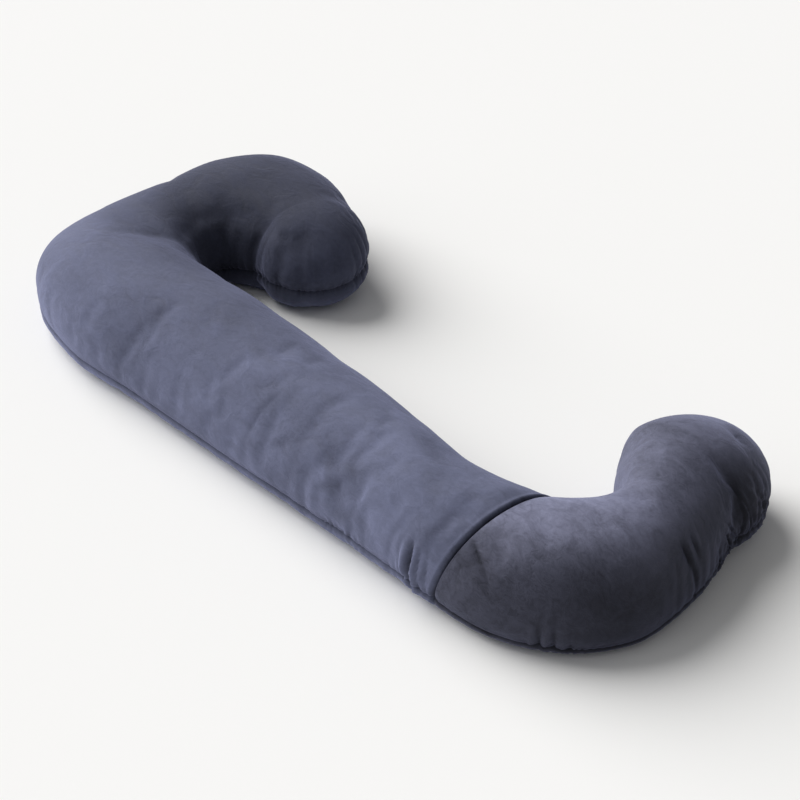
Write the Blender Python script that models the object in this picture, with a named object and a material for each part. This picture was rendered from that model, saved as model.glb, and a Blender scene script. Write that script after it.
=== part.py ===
"""A c-shaped pregnancy pillow, lying flat: a long body section with the head hook, and a foot hook.

The pillow is one filled cover sewn from two sections that meet at a cross seam.
Each section is a closed cushion: it crowns over the middle line, is drawn in at the
seam round its edge, rolls under and lies flat on the floor.
Metres, +Z up, the origin at the middle of the footprint, +X from head to foot.
"""

import bmesh
import bpy
import numpy as np

# Driving dimensions of the pillow's section
CROWN_HEIGHT = 0.185
FLOOR_INSET = 0.060
CROWN_FULLNESS = 2.2
EDGE_PINCH = 0.0035
EDGE_PINCH_SPAN = 0.012

# Round ends, measured beyond the first and the last section of the table
HEAD_TIP_LENGTH = 0.125
HEAD_TIP_LEAN = 0.0
FOOT_TIP_LENGTH = 0.151
FOOT_TIP_LEAN = 0.12

# Cross seam between the two sections of the cover
CROSS_SEAM_SECTION = 13
SEAM_GAP = 0.0004
BOW_SKEW = 1.7
GROOVE_DEPTH = 0.006
GROOVE_SPAN = 0.010

# Spacing of the mesh
BODY_SPACING = 0.016
FOOT_SPACING = 0.010
TIP_STEPS = 30
TOP_ROWS = 9
SIDE_ROWS = 3
SEAM_ROWS = (0.0, 0.004, 0.009, 0.015)
PLEAT_SPACING = 0.0075
PLEAT_RUN = 0.110
MERGE_DISTANCE = 0.00002

# Sections across the pillow, from the head tip to the foot tip.
# Columns: outer edge x, outer edge y, inner edge x, inner edge y, crown as a share of CROWN_HEIGHT,
# how far the section bows towards the foot at the ridge, height of the outer and inner edge seam
SECTIONS = (
    (-0.340, 0.240, -0.395, 0.030, 0.94, 0.000, 0.062, 0.050),
    (-0.465, 0.285, -0.430, 0.010, 0.97, 0.000, 0.058, 0.048),
    (-0.592, 0.268, -0.445, -0.005, 0.98, 0.000, 0.052, 0.046),
    (-0.670, 0.165, -0.450, -0.020, 0.94, 0.000, 0.048, 0.044),
    (-0.690, 0.035, -0.450, -0.035, 0.87, 0.000, 0.045, 0.042),
    (-0.698, -0.126, -0.430, -0.055, 0.84, 0.000, 0.044, 0.040),
    (-0.676, -0.240, -0.380, -0.068, 0.88, 0.000, 0.043, 0.040),
    (-0.578, -0.324, -0.320, -0.072, 0.97, 0.000, 0.042, 0.040),
    (-0.440, -0.361, -0.260, -0.072, 0.99, 0.000, 0.037, 0.040),
    (-0.260, -0.354, -0.160, -0.070, 1.00, 0.000, 0.035, 0.040),
    (-0.010, -0.346, 0.000, -0.080, 1.00, 0.000, 0.034, 0.040),
    (0.200, -0.337, 0.230, -0.100, 0.99, 0.004, 0.034, 0.040),
    (0.375, -0.331, 0.430, -0.120, 0.98, 0.009, 0.033, 0.040),
    (0.472, -0.329, 0.532, -0.075, 0.98, 0.014, 0.029, 0.038),
    (0.585, -0.311, 0.550, -0.045, 1.00, 0.009, 0.022, 0.036),
    (0.686, -0.246, 0.550, -0.015, 1.00, 0.004, 0.017, 0.036),
    (0.738, -0.160, 0.535, 0.015, 0.99, 0.000, 0.018, 0.036),
    (0.742, -0.052, 0.500, 0.045, 0.98, 0.000, 0.024, 0.038),
    (0.698, 0.116, 0.449, 0.117, 0.99, 0.000, 0.040, 0.040),
)

# Gathers where the fullness is eased into the edge seam.
# Columns: centre x, centre y, radius of the zone, pitch along the seam, depth, reach in from the seam
GATHERS = (
    (0.430, -0.333, 0.065, 0.024, 0.0060, 0.065),
    (0.668, -0.268, 0.045, 0.026, 0.0050, 0.040),
    (0.690, 0.160, 0.090, 0.024, 0.0060, 0.055),
    (0.735, -0.030, 0.050, 0.028, 0.0025, 0.045),
    (0.470, 0.120, 0.100, 0.036, 0.0030, 0.045),
    (-0.290, 0.200, 0.110, 0.030, 0.0030, 0.045),
    (-0.360, 0.030, 0.090, 0.040, 0.0025, 0.045),
    (0.240, -0.337, 0.080, 0.045, 0.0020, 0.050),
)

# Soft troughs pressed in from above and along the edge, each along a straight line.
# Columns: start x, start y, end x, end y, half width, depth
FOLDS = (
    (0.424, -0.334, 0.426, -0.314, 0.008, 0.0090),
    (0.500, -0.283, 0.575, -0.302, 0.012, 0.0035),
    (0.657, -0.290, 0.650, -0.272, 0.007, 0.0060),
    (0.679, -0.276, 0.669, -0.260, 0.007, 0.0060),
    (0.712, -0.060, 0.734, -0.016, 0.013, 0.0060),
    (0.585, 0.196, 0.640, 0.186, 0.012, 0.0035),
    (0.190, -0.290, 0.262, -0.322, 0.012, 0.0035),
    (0.240, -0.285, 0.300, -0.325, 0.013, 0.0035),
    (0.038, -0.336, 0.053, -0.277, 0.010, 0.0020),
    (0.085, -0.332, 0.183, -0.288, 0.010, 0.0020),
    (-0.330, 0.200, -0.380, 0.220, 0.012, 0.0025),
)

# The same cloth on both sections, its nap lying darker on the foot hook
VELVET_COLOURS = {
    "body_cushion": (0.105, 0.101, 0.140, 1.0),
    "foot_cushion": (0.080, 0.077, 0.108, 1.0),
}
VELVET_ROUGHNESS = 0.85


def clear_scene():
    for item in list(bpy.data.objects):
        bpy.data.objects.remove(item, do_unlink=True)


def middle_line(rows):
    """Middle of each section, and its distance along the pillow from the head."""
    middle = (rows[:, 0:2] + rows[:, 2:4]) / 2
    steps = np.linalg.norm(np.diff(middle, axis=0), axis=1)
    return middle, np.concatenate([[0.0], np.cumsum(steps)])


def smooth_rows(rows, along, places):
    """Cubic curve through the table's rows, each with the slope across its neighbours."""
    slopes = np.gradient(rows, along, axis=0)
    left = np.clip(np.searchsorted(along, places, side="right") - 1, 0, len(along) - 2)
    span = (along[left + 1] - along[left])[:, None]
    u = (places - along[left])[:, None] / span
    value = (2 * u**3 - 3 * u**2 + 1) * rows[left]
    value += (u**3 - 2 * u**2 + u) * span * slopes[left]
    value += (3 * u**2 - 2 * u**3) * rows[left + 1]
    value += (u**3 - u**2) * span * slopes[left + 1]
    return value


def round_tip(outer, middle, length, lean):
    """Half ellipse from the outer edge round to the inner edge, length beyond the middle.

    lean carries its far end towards the outer edge, as a share of the half width.
    """
    half = outer - middle
    forward = np.array([-half[1], half[0]]) / np.linalg.norm(half)
    turn = np.linspace(0.0, np.pi, TIP_STEPS + 2)[1:-1, None]
    return middle + (np.cos(turn) + lean * np.sin(turn)) * half + np.sin(turn) * length * forward


def edge_and_ridge(places, tip_length, tip_lean, side):
    """Points round the edge seam from the cross seam, by the tip and back, with the ridge over each.

    side is +1 where the outer edge, followed to the tip, has the pillow on its left, else -1.
    The ridge lies between the edges, and bow is how far it is carried towards the foot.
    Round the tip the seam's height runs from the outer edge's to the inner edge's as a cosine.
    """
    rows = np.array(SECTIONS)
    along = middle_line(rows)[1]
    sections = smooth_rows(rows, along, places)
    outer, inner, crown = sections[:, 0:2], sections[:, 2:4], sections[:, 4]
    middle = (outer + inner) / 2
    across = (inner - outer) / np.linalg.norm(inner - outer, axis=1)[:, None]
    forward = np.column_stack([across[:, 1], -across[:, 0]]) * sections[:, 5:6]
    tip = round_tip(outer[-1], middle[-1], side * tip_length, tip_lean)
    none = np.zeros((TIP_STEPS, 2))
    edge = np.concatenate([outer, tip, inner[::-1]])
    ridge = np.concatenate([middle, np.repeat(middle[-1:], TIP_STEPS, axis=0), middle[::-1]])
    bow = np.concatenate([forward, none, forward[::-1]])
    skew = np.concatenate([forward, none, -forward[::-1]]) * BOW_SKEW
    height = np.concatenate([crown, np.repeat(crown[-1:], TIP_STEPS), crown[::-1]]) * CROWN_HEIGHT
    share = (1 + np.cos(np.linspace(0.0, np.pi, TIP_STEPS + 2)[1:-1])) / 2
    tip_seam = sections[-1, 6] * share + sections[-1, 7] * (1 - share)
    seam = np.concatenate([sections[:, 6], tip_seam, sections[::-1, 7]])
    return edge, ridge, bow, skew, height, seam


def section_rows(edge, ridge, bow, skew, height, seam):
    """Rows of points from the ridge over the crown to the edge seam, under it and in along the floor.

    Over the crown, turn runs from a right angle at the ridge to 0 at the seam. The share of the
    way in is one less its cosine, and the height follows a full round curve of that share. In plan
    the section bows towards the foot by its sine, times one plus a skewed share of its cosine, so
    it bows most on the outer side. Below the seam the side turns under in a quarter ellipse.
    """
    width = np.linalg.norm(edge - ridge, axis=1)
    rows = []
    for turn in np.linspace(np.pi / 2, 0.0, TOP_ROWS + 1):
        share = 1 - np.cos(turn)
        rise = (1 - (1 - share) ** CROWN_FULLNESS) ** (1 / CROWN_FULLNESS)
        plan = edge + (ridge - edge) * share + np.sin(turn) * (bow + skew * np.cos(turn))
        rows.append(np.column_stack([plan, seam + (height - seam) * rise]))
    for turn in np.linspace(0.0, np.pi / 2, SIDE_ROWS + 1)[1:]:
        share = FLOOR_INSET * (1 - np.cos(turn)) / width
        plan = edge + (ridge - edge) * share[:, None]
        rows.append(np.column_stack([plan, seam * (1 - np.sin(turn))]))
    rows.append(np.column_stack([ridge, np.zeros(len(ridge))]))
    return np.stack(rows, axis=1)


def gather_depth(points, edge):
    """Uneven pleats: a wave along the edge seam that dies away from it, inside each zone."""
    step = np.linalg.norm(np.diff(edge, axis=0), axis=1)
    arc = np.concatenate([[0.0], np.cumsum(step)])[:, None]
    from_edge = np.linalg.norm(points[:, :, 0:2] - edge[:, None, :], axis=2)
    depth = np.zeros(points.shape[0:2])
    for x, y, radius, pitch, deepest, reach in GATHERS:
        zone = np.exp(-((points[:, :, 0] - x) ** 2 + (points[:, :, 1] - y) ** 2) / radius**2)
        sway = 1.4 * np.sin(2 * np.pi * arc / (3.7 * pitch)) + 30 * from_edge
        wave = 0.5 + 0.5 * np.sin(2 * np.pi * arc / pitch + sway)
        fade = np.clip(1 - from_edge / reach, 0, 1) ** 1.5
        depth += deepest * zone * wave**2 * fade
    return depth


def fold_depth(points):
    """Soft troughs: deepest along each line, fading with the distance from it."""
    depth = np.zeros(points.shape[0:2])
    for x0, y0, x1, y1, half_width, deepest in FOLDS:
        start = np.array([x0, y0])
        run = np.array([x1, y1]) - start
        offset = points[:, :, 0:2] - start
        share = np.clip(offset @ run / (run @ run), 0, 1)
        away = np.linalg.norm(offset - share[:, :, None] * run, axis=2)
        depth += deepest * np.exp(-((away / half_width) ** 2))
    return depth


def edge_pinch(points, edge, seam):
    """Shallow groove where the edge seam draws the sides in."""
    from_edge = np.linalg.norm(points[:, :, 0:2] - edge[:, None, :], axis=2)
    away = np.hypot(from_edge, points[:, :, 2] - seam[:, None])
    return EDGE_PINCH * np.exp(-((away / EDGE_PINCH_SPAN) ** 2))


def along_from_cross_seam(points):
    """Distance from the cross seam along each row, by the nearer side of the cushion."""
    step = np.linalg.norm(np.diff(points, axis=0), axis=2)
    from_start = np.concatenate([np.zeros((1, points.shape[1])), np.cumsum(step, axis=0)])
    return np.minimum(from_start, from_start[-1] - from_start)


def pressed_in(points, edge, seam, heart):
    """Moves the surface in towards the section's heart by its gathers, folds and seams."""
    from_seam = along_from_cross_seam(points)
    depth = gather_depth(points, edge) + fold_depth(points)
    depth *= 1 - np.exp(-((from_seam / SEAM_ROWS[-1]) ** 2))
    depth += edge_pinch(points, edge, seam) + GROOVE_DEPTH * np.exp(-from_seam / GROOVE_SPAN)
    depth *= np.clip(points[:, :, 2] / seam[:, None], 0, 1)
    inward = heart[:, None, :] - points
    inward /= np.linalg.norm(inward, axis=2)[:, :, None]
    return points + depth[:, :, None] * inward


def end_gap(points):
    """How far the flat end is drawn back from the cross seam: half the gap, along each row."""
    moved = np.zeros(points.shape)
    for end, beside in ((0, 1), (-1, -2)):
        back = points[beside] - points[end]
        moved[end] = back / np.linalg.norm(back, axis=1)[:, None] * SEAM_GAP / 2
    return moved


def closed_mesh(name, points):
    """Joins the grid of points, merges it along the ridge and closes the flat end at the cross seam."""
    columns, rows = points.shape[0:2]
    corner = np.arange(columns * rows).reshape(columns, rows)
    faces = np.stack([corner[:-1, :-1], corner[:-1, 1:], corner[1:, 1:], corner[1:, :-1]], axis=2)
    mesh = bpy.data.meshes.new(name)
    mesh.from_pydata(points.reshape(-1, 3).tolist(), [], faces.reshape(-1, 4).tolist())
    bm = bmesh.new()
    bm.from_mesh(mesh)
    bmesh.ops.remove_doubles(bm, verts=bm.verts, dist=MERGE_DISTANCE)
    rim = [edge for edge in bm.edges if edge.is_boundary]
    end = bmesh.ops.holes_fill(bm, edges=rim, sides=0)["faces"]
    bmesh.ops.poke(bm, faces=end)
    bmesh.ops.triangulate(bm, faces=bm.faces)
    bmesh.ops.recalc_face_normals(bm, faces=bm.faces)
    bm.to_mesh(mesh)
    bm.free()
    mesh.shade_smooth()
    mesh.set_sharp_from_angle(angle=np.radians(50))
    return mesh


def velvet(name):
    material = bpy.data.materials.new(name + "_velvet")
    material.use_nodes = True
    shader = material.node_tree.nodes["Principled BSDF"]
    shader.inputs["Base Color"].default_value = VELVET_COLOURS[name]
    shader.inputs["Roughness"].default_value = VELVET_ROUGHNESS
    shader.inputs["Metallic"].default_value = 0.0
    return material


def cushion_points(end, spacing, tip_length, tip_lean):
    """Grid of points of one section of the cover, from the cross seam to the tip.

    end is the tip section's distance along the pillow, which lies on either side of the seam.
    """
    along = middle_line(np.array(SECTIONS))[1]
    split = along[CROSS_SEAM_SECTION]
    side = np.sign(end - split)
    length = abs(end - split)
    pleated = np.arange(SEAM_ROWS[-1] + PLEAT_SPACING, PLEAT_RUN, PLEAT_SPACING)
    plain_run = np.linspace(PLEAT_RUN, length, round((length - PLEAT_RUN) / spacing))
    places = np.concatenate([SEAM_ROWS, pleated, plain_run])
    outline = edge_and_ridge(split + side * places, tip_length, tip_lean, side)
    edge, ridge, bow, _, height, seam = outline
    plain = section_rows(*outline)
    heart = np.column_stack([ridge + bow, height / 2])
    return pressed_in(plain, edge, seam, heart) + end_gap(plain)


def footprint_middle(grids):
    """Middle in plan of the box round all the points."""
    plan = np.concatenate([points[:, :, 0:2].reshape(-1, 2) for points in grids])
    return (plan.min(axis=0) + plan.max(axis=0)) / 2


def add_cushion(name, points, middle):
    centred = points - np.array([middle[0], middle[1], 0.0])
    piece = bpy.data.objects.new(name, closed_mesh(name, centred))
    piece.data.materials.append(velvet(name))
    bpy.context.scene.collection.objects.link(piece)


def main():
    clear_scene()
    total = middle_line(np.array(SECTIONS))[1][-1]
    body = cushion_points(0.0, BODY_SPACING, HEAD_TIP_LENGTH, HEAD_TIP_LEAN)
    foot = cushion_points(total, FOOT_SPACING, FOOT_TIP_LENGTH, FOOT_TIP_LEAN)
    middle = footprint_middle([body, foot])
    add_cushion("body_cushion", body, middle)
    add_cushion("foot_cushion", foot, middle)


main()
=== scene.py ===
"""A c-shaped pregnancy pillow in brushed velvet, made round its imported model.

The cover is sewn from two sections, the long one with the head hook and the foot hook.
Laid out as a Blender add-on and run as a script. Metres, +Z up, floor at z = 0.
"""

import math

import bmesh
import bpy
import numpy as np
from bpy.props import FloatProperty, FloatVectorProperty, IntProperty, PointerProperty
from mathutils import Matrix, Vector
from mathutils.kdtree import KDTree


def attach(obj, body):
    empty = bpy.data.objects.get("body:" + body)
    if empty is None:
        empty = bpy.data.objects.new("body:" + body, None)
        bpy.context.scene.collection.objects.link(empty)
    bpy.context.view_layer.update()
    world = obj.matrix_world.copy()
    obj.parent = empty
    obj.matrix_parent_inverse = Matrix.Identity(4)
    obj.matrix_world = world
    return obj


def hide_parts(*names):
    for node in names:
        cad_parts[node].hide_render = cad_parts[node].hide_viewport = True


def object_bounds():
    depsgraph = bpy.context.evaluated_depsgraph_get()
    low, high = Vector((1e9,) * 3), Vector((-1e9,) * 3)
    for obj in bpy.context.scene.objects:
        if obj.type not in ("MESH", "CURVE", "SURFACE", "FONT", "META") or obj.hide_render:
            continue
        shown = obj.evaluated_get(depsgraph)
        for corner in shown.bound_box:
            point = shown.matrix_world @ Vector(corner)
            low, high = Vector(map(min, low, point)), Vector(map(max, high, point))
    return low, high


bl_info = {
    "name": "C-shaped pregnancy pillow",
    "version": (1, 0, 0),
    "blender": (4, 5, 0),
    "location": "3D view > Sidebar > Pillow",
    "description": "Makes the velvet cover, its seams and the studio round the packed pillow",
    "category": "Object",
}

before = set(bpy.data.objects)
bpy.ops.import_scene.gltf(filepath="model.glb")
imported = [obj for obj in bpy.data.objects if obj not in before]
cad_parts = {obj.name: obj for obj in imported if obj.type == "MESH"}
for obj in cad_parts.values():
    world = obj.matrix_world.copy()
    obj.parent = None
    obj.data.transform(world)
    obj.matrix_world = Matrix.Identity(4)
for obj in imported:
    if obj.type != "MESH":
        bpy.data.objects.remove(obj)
CAD_BOX = [list(corner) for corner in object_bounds()]

# Sections across the pillow, from the head tip to the foot tip, as the solids have them.
# Columns: outer edge x, outer edge y, inner edge x, inner edge y, crown as a share of the crown height,
# how far the section bows towards the foot at the ridge, height of the outer and inner edge seam
SECTIONS = np.array((
    (-0.340, 0.240, -0.395, 0.030, 0.94, 0.000, 0.062, 0.050),
    (-0.465, 0.285, -0.430, 0.010, 0.97, 0.000, 0.058, 0.048),
    (-0.592, 0.268, -0.445, -0.005, 0.98, 0.000, 0.052, 0.046),
    (-0.670, 0.165, -0.450, -0.020, 0.94, 0.000, 0.048, 0.044),
    (-0.690, 0.035, -0.450, -0.035, 0.87, 0.000, 0.045, 0.042),
    (-0.698, -0.126, -0.430, -0.055, 0.84, 0.000, 0.044, 0.040),
    (-0.676, -0.240, -0.380, -0.068, 0.88, 0.000, 0.043, 0.040),
    (-0.578, -0.324, -0.320, -0.072, 0.97, 0.000, 0.042, 0.040),
    (-0.440, -0.361, -0.260, -0.072, 0.99, 0.000, 0.037, 0.040),
    (-0.260, -0.354, -0.160, -0.070, 1.00, 0.000, 0.035, 0.040),
    (-0.010, -0.346, 0.000, -0.080, 1.00, 0.000, 0.034, 0.040),
    (0.200, -0.337, 0.230, -0.100, 0.99, 0.004, 0.034, 0.040),
    (0.375, -0.331, 0.430, -0.120, 0.98, 0.009, 0.033, 0.040),
    (0.472, -0.329, 0.532, -0.075, 0.98, 0.014, 0.029, 0.038),
    (0.585, -0.311, 0.550, -0.045, 1.00, 0.009, 0.022, 0.036),
    (0.686, -0.246, 0.550, -0.015, 1.00, 0.004, 0.017, 0.036),
    (0.738, -0.160, 0.535, 0.015, 0.99, 0.000, 0.018, 0.036),
    (0.742, -0.052, 0.500, 0.045, 0.98, 0.000, 0.024, 0.038),
    (0.698, 0.116, 0.449, 0.117, 0.99, 0.000, 0.040, 0.040),
))
CROSS_SEAM_SECTION = 13
BOW_SKEW = 1.7

# Gathers where the fullness is eased into the edge seam, softer than the solids' beside sharp creases.
# Columns: centre x, centre y, radius of the zone, pitch along the seam, depth, reach in from the seam
GATHERS = (
    (0.430, -0.333, 0.050, 0.024, 0.0026, 0.045),
    (0.668, -0.268, 0.045, 0.026, 0.0022, 0.030),
    (0.690, 0.160, 0.090, 0.024, 0.0026, 0.045),
    (0.735, -0.030, 0.050, 0.028, 0.0025, 0.045),
    (0.470, 0.120, 0.100, 0.036, 0.0030, 0.045),
    (-0.290, 0.200, 0.110, 0.030, 0.0030, 0.045),
    (-0.360, 0.030, 0.090, 0.040, 0.0025, 0.045),
    (0.240, -0.337, 0.080, 0.045, 0.0020, 0.050),
)

# Short creases that start at the edge seam, between the gathers.
# Columns: centre x, centre y, radius of the zone, depth, reach in from the seam
PUCKERS = (
    (0.430, -0.333, 0.055, 0.0035, 0.050),
    (0.680, -0.265, 0.060, 0.0040, 0.032),
    (0.700, 0.130, 0.120, 0.0090, 0.100),
    (0.570, 0.240, 0.090, 0.0026, 0.040),
    (0.460, 0.120, 0.100, 0.0030, 0.040),
    (-0.290, 0.200, 0.120, 0.0034, 0.050),
    (-0.380, 0.030, 0.100, 0.0028, 0.040),
    (0.260, -0.335, 0.080, 0.0020, 0.035),
    (-0.100, -0.350, 0.400, 0.0005, 0.020),
    (-0.680, -0.050, 0.300, 0.0009, 0.025),
)

# Soft troughs where the solids have them, and sharper creases, with ridges where the depth is negative.
# Columns: start x, start y, end x, end y, half width, depth
FOLDS = (
    (0.424, -0.338, 0.425, -0.325, 0.008, 0.0045),
    (0.500, -0.283, 0.575, -0.302, 0.012, 0.0014),
    (0.657, -0.290, 0.650, -0.272, 0.007, 0.0030),
    (0.679, -0.276, 0.669, -0.260, 0.007, 0.0030),
    (0.712, -0.060, 0.734, -0.016, 0.013, 0.0030),
    (0.585, 0.196, 0.640, 0.186, 0.012, 0.0035),
    (0.190, -0.290, 0.262, -0.322, 0.012, 0.0035),
    (0.240, -0.285, 0.300, -0.325, 0.013, 0.0035),
    (0.038, -0.336, 0.053, -0.277, 0.010, 0.0008),
    (0.085, -0.332, 0.183, -0.288, 0.010, 0.0008),
    (-0.330, 0.200, -0.380, 0.220, 0.012, 0.0025),
)
SHARP_CREASES = (
    (0.424, -0.342, 0.426, -0.322, 0.0032, 0.0085),
    (0.411, -0.342, 0.414, -0.324, 0.0028, -0.0026),
    (0.434, -0.342, 0.435, -0.322, 0.0030, -0.0030),
    (0.443, -0.340, 0.443, -0.324, 0.0026, 0.0034),
    (0.453, -0.340, 0.451, -0.322, 0.0026, -0.0018),
    (0.461, -0.340, 0.459, -0.322, 0.0024, 0.0026),
    (0.402, -0.340, 0.405, -0.327, 0.0028, 0.0030),
    (0.512, -0.286, 0.546, -0.297, 0.0024, 0.0036),
    (0.538, -0.294, 0.574, -0.303, 0.0022, 0.0026),
    (0.516, -0.294, 0.548, -0.304, 0.0028, -0.0014),
    (0.524, -0.283, 0.552, -0.291, 0.0028, -0.0012),
    (0.661, -0.299, 0.650, -0.276, 0.0034, 0.0085),
    (0.682, -0.284, 0.669, -0.262, 0.0032, 0.0085),
    (0.701, -0.266, 0.686, -0.246, 0.0032, 0.0080),
    (0.671, -0.293, 0.660, -0.273, 0.0034, -0.0030),
    (0.692, -0.276, 0.679, -0.256, 0.0030, -0.0024),
    (0.640, -0.304, 0.635, -0.292, 0.0030, 0.0024),
    (0.712, -0.044, 0.730, -0.038, 0.0034, 0.0042),
    (0.729, -0.039, 0.740, -0.020, 0.0032, 0.0046),
    (0.710, -0.034, 0.729, -0.027, 0.0036, -0.0030),
    (0.708, -0.022, 0.727, -0.015, 0.0034, 0.0040),
    (0.706, -0.012, 0.724, -0.005, 0.0030, -0.0014),
    (0.038, -0.336, 0.045, -0.304, 0.0023, 0.0014),
    (0.045, -0.304, 0.056, -0.272, 0.0022, 0.0010),
    (0.085, -0.332, 0.128, -0.315, 0.0024, 0.0011),
    (0.128, -0.315, 0.183, -0.288, 0.0024, 0.0008),
    (0.086, -0.342, 0.197, -0.333, 0.0024, 0.0010),
    (0.211, -0.328, 0.256, -0.320, 0.0034, 0.0024),
    (0.248, -0.336, 0.288, -0.330, 0.0034, 0.0026),
    (0.601, 0.193, 0.632, 0.187, 0.0030, 0.0020),
    (-0.300, 0.190, -0.345, 0.205, 0.0036, 0.0020),
)

# Seams, in metres: how deep each draws in, and how fast that dies away
EDGE_PINCH = (0.0035, 0.012)
EDGE_LINE = (0.0028, 0.0013)
CROSS_GROOVE = (0.0045, 0.009)
CROSS_LINE = (0.0065, 0.0016)

# Roll beside the cross seam: its height, its distance from the seam and its half width
CROSS_ROLL = (0.0020, 0.0066, 0.0036)

# Room that the crown leaves for the swelling
SWELL_ALLOWANCE = 0.006

# Distances from the cross seam over which the swelling and the creases set in, and the gap in it
CROSS_HOLD = 0.030
CREASE_START = 0.010
SEAM_GAP = 0.0004

# Uneven spacing of the short creases, and the crease depth at which the cover counts as gathered
PUCKER_PITCH = 0.0095
PUCKER_SEED = 11
FULLY_GATHERED = 0.0035

# Painted shade against the long run's 1: painted shadow on the head hook, less of it at the hook's end,
# painted shade on the foot hook's outer side in front and further back, and painted light added below the
# edge seam, where that strip lies in shade
HEAD_PAINTED_SHADOW = 0.31
HEAD_END_LESS_SHADOW = 0.32
FRONT_OUTER_PAINTED_SHADE = 0.32
OUTER_PAINTED_SHADE = 0.14
UNDER_SEAM_PAINTED_LIGHT = 0.6

# Crease depth at which the painted shade in creases and seam hollows is full, and the least of it, on
# ridges, where it turns to a painted highlight
FULL_CREASE_SHADE = 0.008
LEAST_CREASE_SHADE = -0.5

# Fineness of the cover's grid
BODY_SPACING = 0.0038
FOOT_SPACING = 0.0026
SEAM_PLACES = (0.0, 0.0008, 0.0017, 0.0028, 0.0042, 0.006, 0.0085, 0.0115, 0.015)
TIP_STEPS = 160
TOP_ROWS = 40
SIDE_ROWS = 14
FLOOR_ROWS = 3
MERGE_DISTANCE = 0.0001
FRAME_STEPS = 300

# How the simulated form carries the grid: nearest points, and softness of their weights in square
# metres, where its creases are kept and where they are smoothed away
NEAR_POINTS = 10
NEAR_SOFTNESS = 0.00006
WIDE_POINTS = 90
WIDE_SOFTNESS = 0.0010

# Points whose distances are measured at once, to spare memory
BLOCK = 2000

# Stitches, and how many columns beside the cross seam the edge seam's stitches leave free
STITCH_LENGTH = 0.0030
STITCH_GAP = 0.0010
THREAD_RADIUS = 0.00045
THREAD_SIDES = 6
FREE_COLUMNS = 3

# Directions that the lights come from, seen from the pillow
KEY_FROM = (-0.80, -0.12, 0.58)
FILL_FROM = (-0.45, -0.80, 0.40)


class PillowForm(bpy.types.PropertyGroup):
    """Sizes of the cushion's section."""

    crown_height: FloatProperty(
        name="Crown height", description="Thickness over the middle line",
        default=CAD_BOX[1][2] - SWELL_ALLOWANCE, min=0.05, unit="LENGTH")
    floor_inset: FloatProperty(
        name="Floor inset", description="How far the side turns under before it meets the floor",
        default=0.060, min=0.01, unit="LENGTH")
    fullness: FloatProperty(
        name="Fullness", description="Power of the crown's curve; 2 is an ellipse, more is fuller",
        default=2.2, min=1.2, max=4.0)
    head_tip: FloatProperty(
        name="Head tip length", description="Round end beyond the first section",
        default=0.125, min=0.02, unit="LENGTH")
    foot_tip: FloatProperty(
        name="Foot tip length", description="Round end beyond the last section",
        default=0.151, min=0.02, unit="LENGTH")
    foot_lean: FloatProperty(
        name="Foot tip lean", description="Share of the half width by which the tip leans outwards",
        default=0.12, min=-1.0, max=1.0)


class PillowFilling(bpy.types.PropertyGroup):
    """How the filling swells the cover."""

    voxel: FloatProperty(
        name="Cell size", description="Cell of the even mesh that is simulated",
        default=0.009, min=0.003, unit="LENGTH")
    pressure: FloatProperty(
        name="Pressure", description="How hard the filling pushes out", default=3.0, min=0.0)
    ease: FloatProperty(
        name="Ease", description="Share by which the cloth is larger than the form it covers",
        default=0.010, min=0.0, max=0.2)
    gathered_ease: FloatProperty(
        name="Gathered ease", description="The same where the cover is gathered into its seam",
        default=0.045, min=0.0, max=0.2)
    most: FloatProperty(
        name="Most movement", description="Cap on how far a point of the cover may move",
        default=0.010, min=0.0, unit="LENGTH")
    frames: IntProperty(
        name="Frames", description="Length of the simulation", default=18, min=2)


class PillowVelvet(bpy.types.PropertyGroup):
    """Colours and finish of the velvet."""

    body_pile: FloatVectorProperty(
        name="Body pile", description="Pile colour of the long section",
        subtype="COLOR", default=(0.106, 0.116, 0.182), min=0.0, max=1.0)
    body_lean: FloatVectorProperty(
        name="Body nap", description="How the pile leans, as a share of its height",
        subtype="XYZ", default=(-0.10, -0.25, 0.0))
    foot_pile: FloatVectorProperty(
        name="Foot pile", description="Pile colour of the foot hook, whose nap lies the other way",
        subtype="COLOR", default=(0.158, 0.164, 0.236), min=0.0, max=1.0)
    foot_lean: FloatVectorProperty(
        name="Foot nap", description="How the pile leans, as a share of its height",
        subtype="XYZ", default=(0.10, 0.22, 0.0))
    thread: FloatVectorProperty(
        name="Thread", description="Colour of the sewing thread",
        subtype="COLOR", default=(0.020, 0.020, 0.030), min=0.0, max=1.0)
    body_brushed: FloatProperty(
        name="Body brushing", description="How much the brushed patches of the long section differ",
        default=0.46, min=0.0, max=1.0)
    foot_brushed: FloatProperty(
        name="Foot brushing", description="How much the brushed patches of the foot hook differ",
        default=0.80, min=0.0, max=1.0)
    body_sheen: FloatProperty(
        name="Body sheen", description="Sheen of the long section's pile", default=0.46, min=0.0, max=1.0)
    foot_sheen: FloatProperty(
        name="Foot sheen", description="Sheen of the foot hook's pile", default=0.34, min=0.0, max=1.0)


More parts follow.
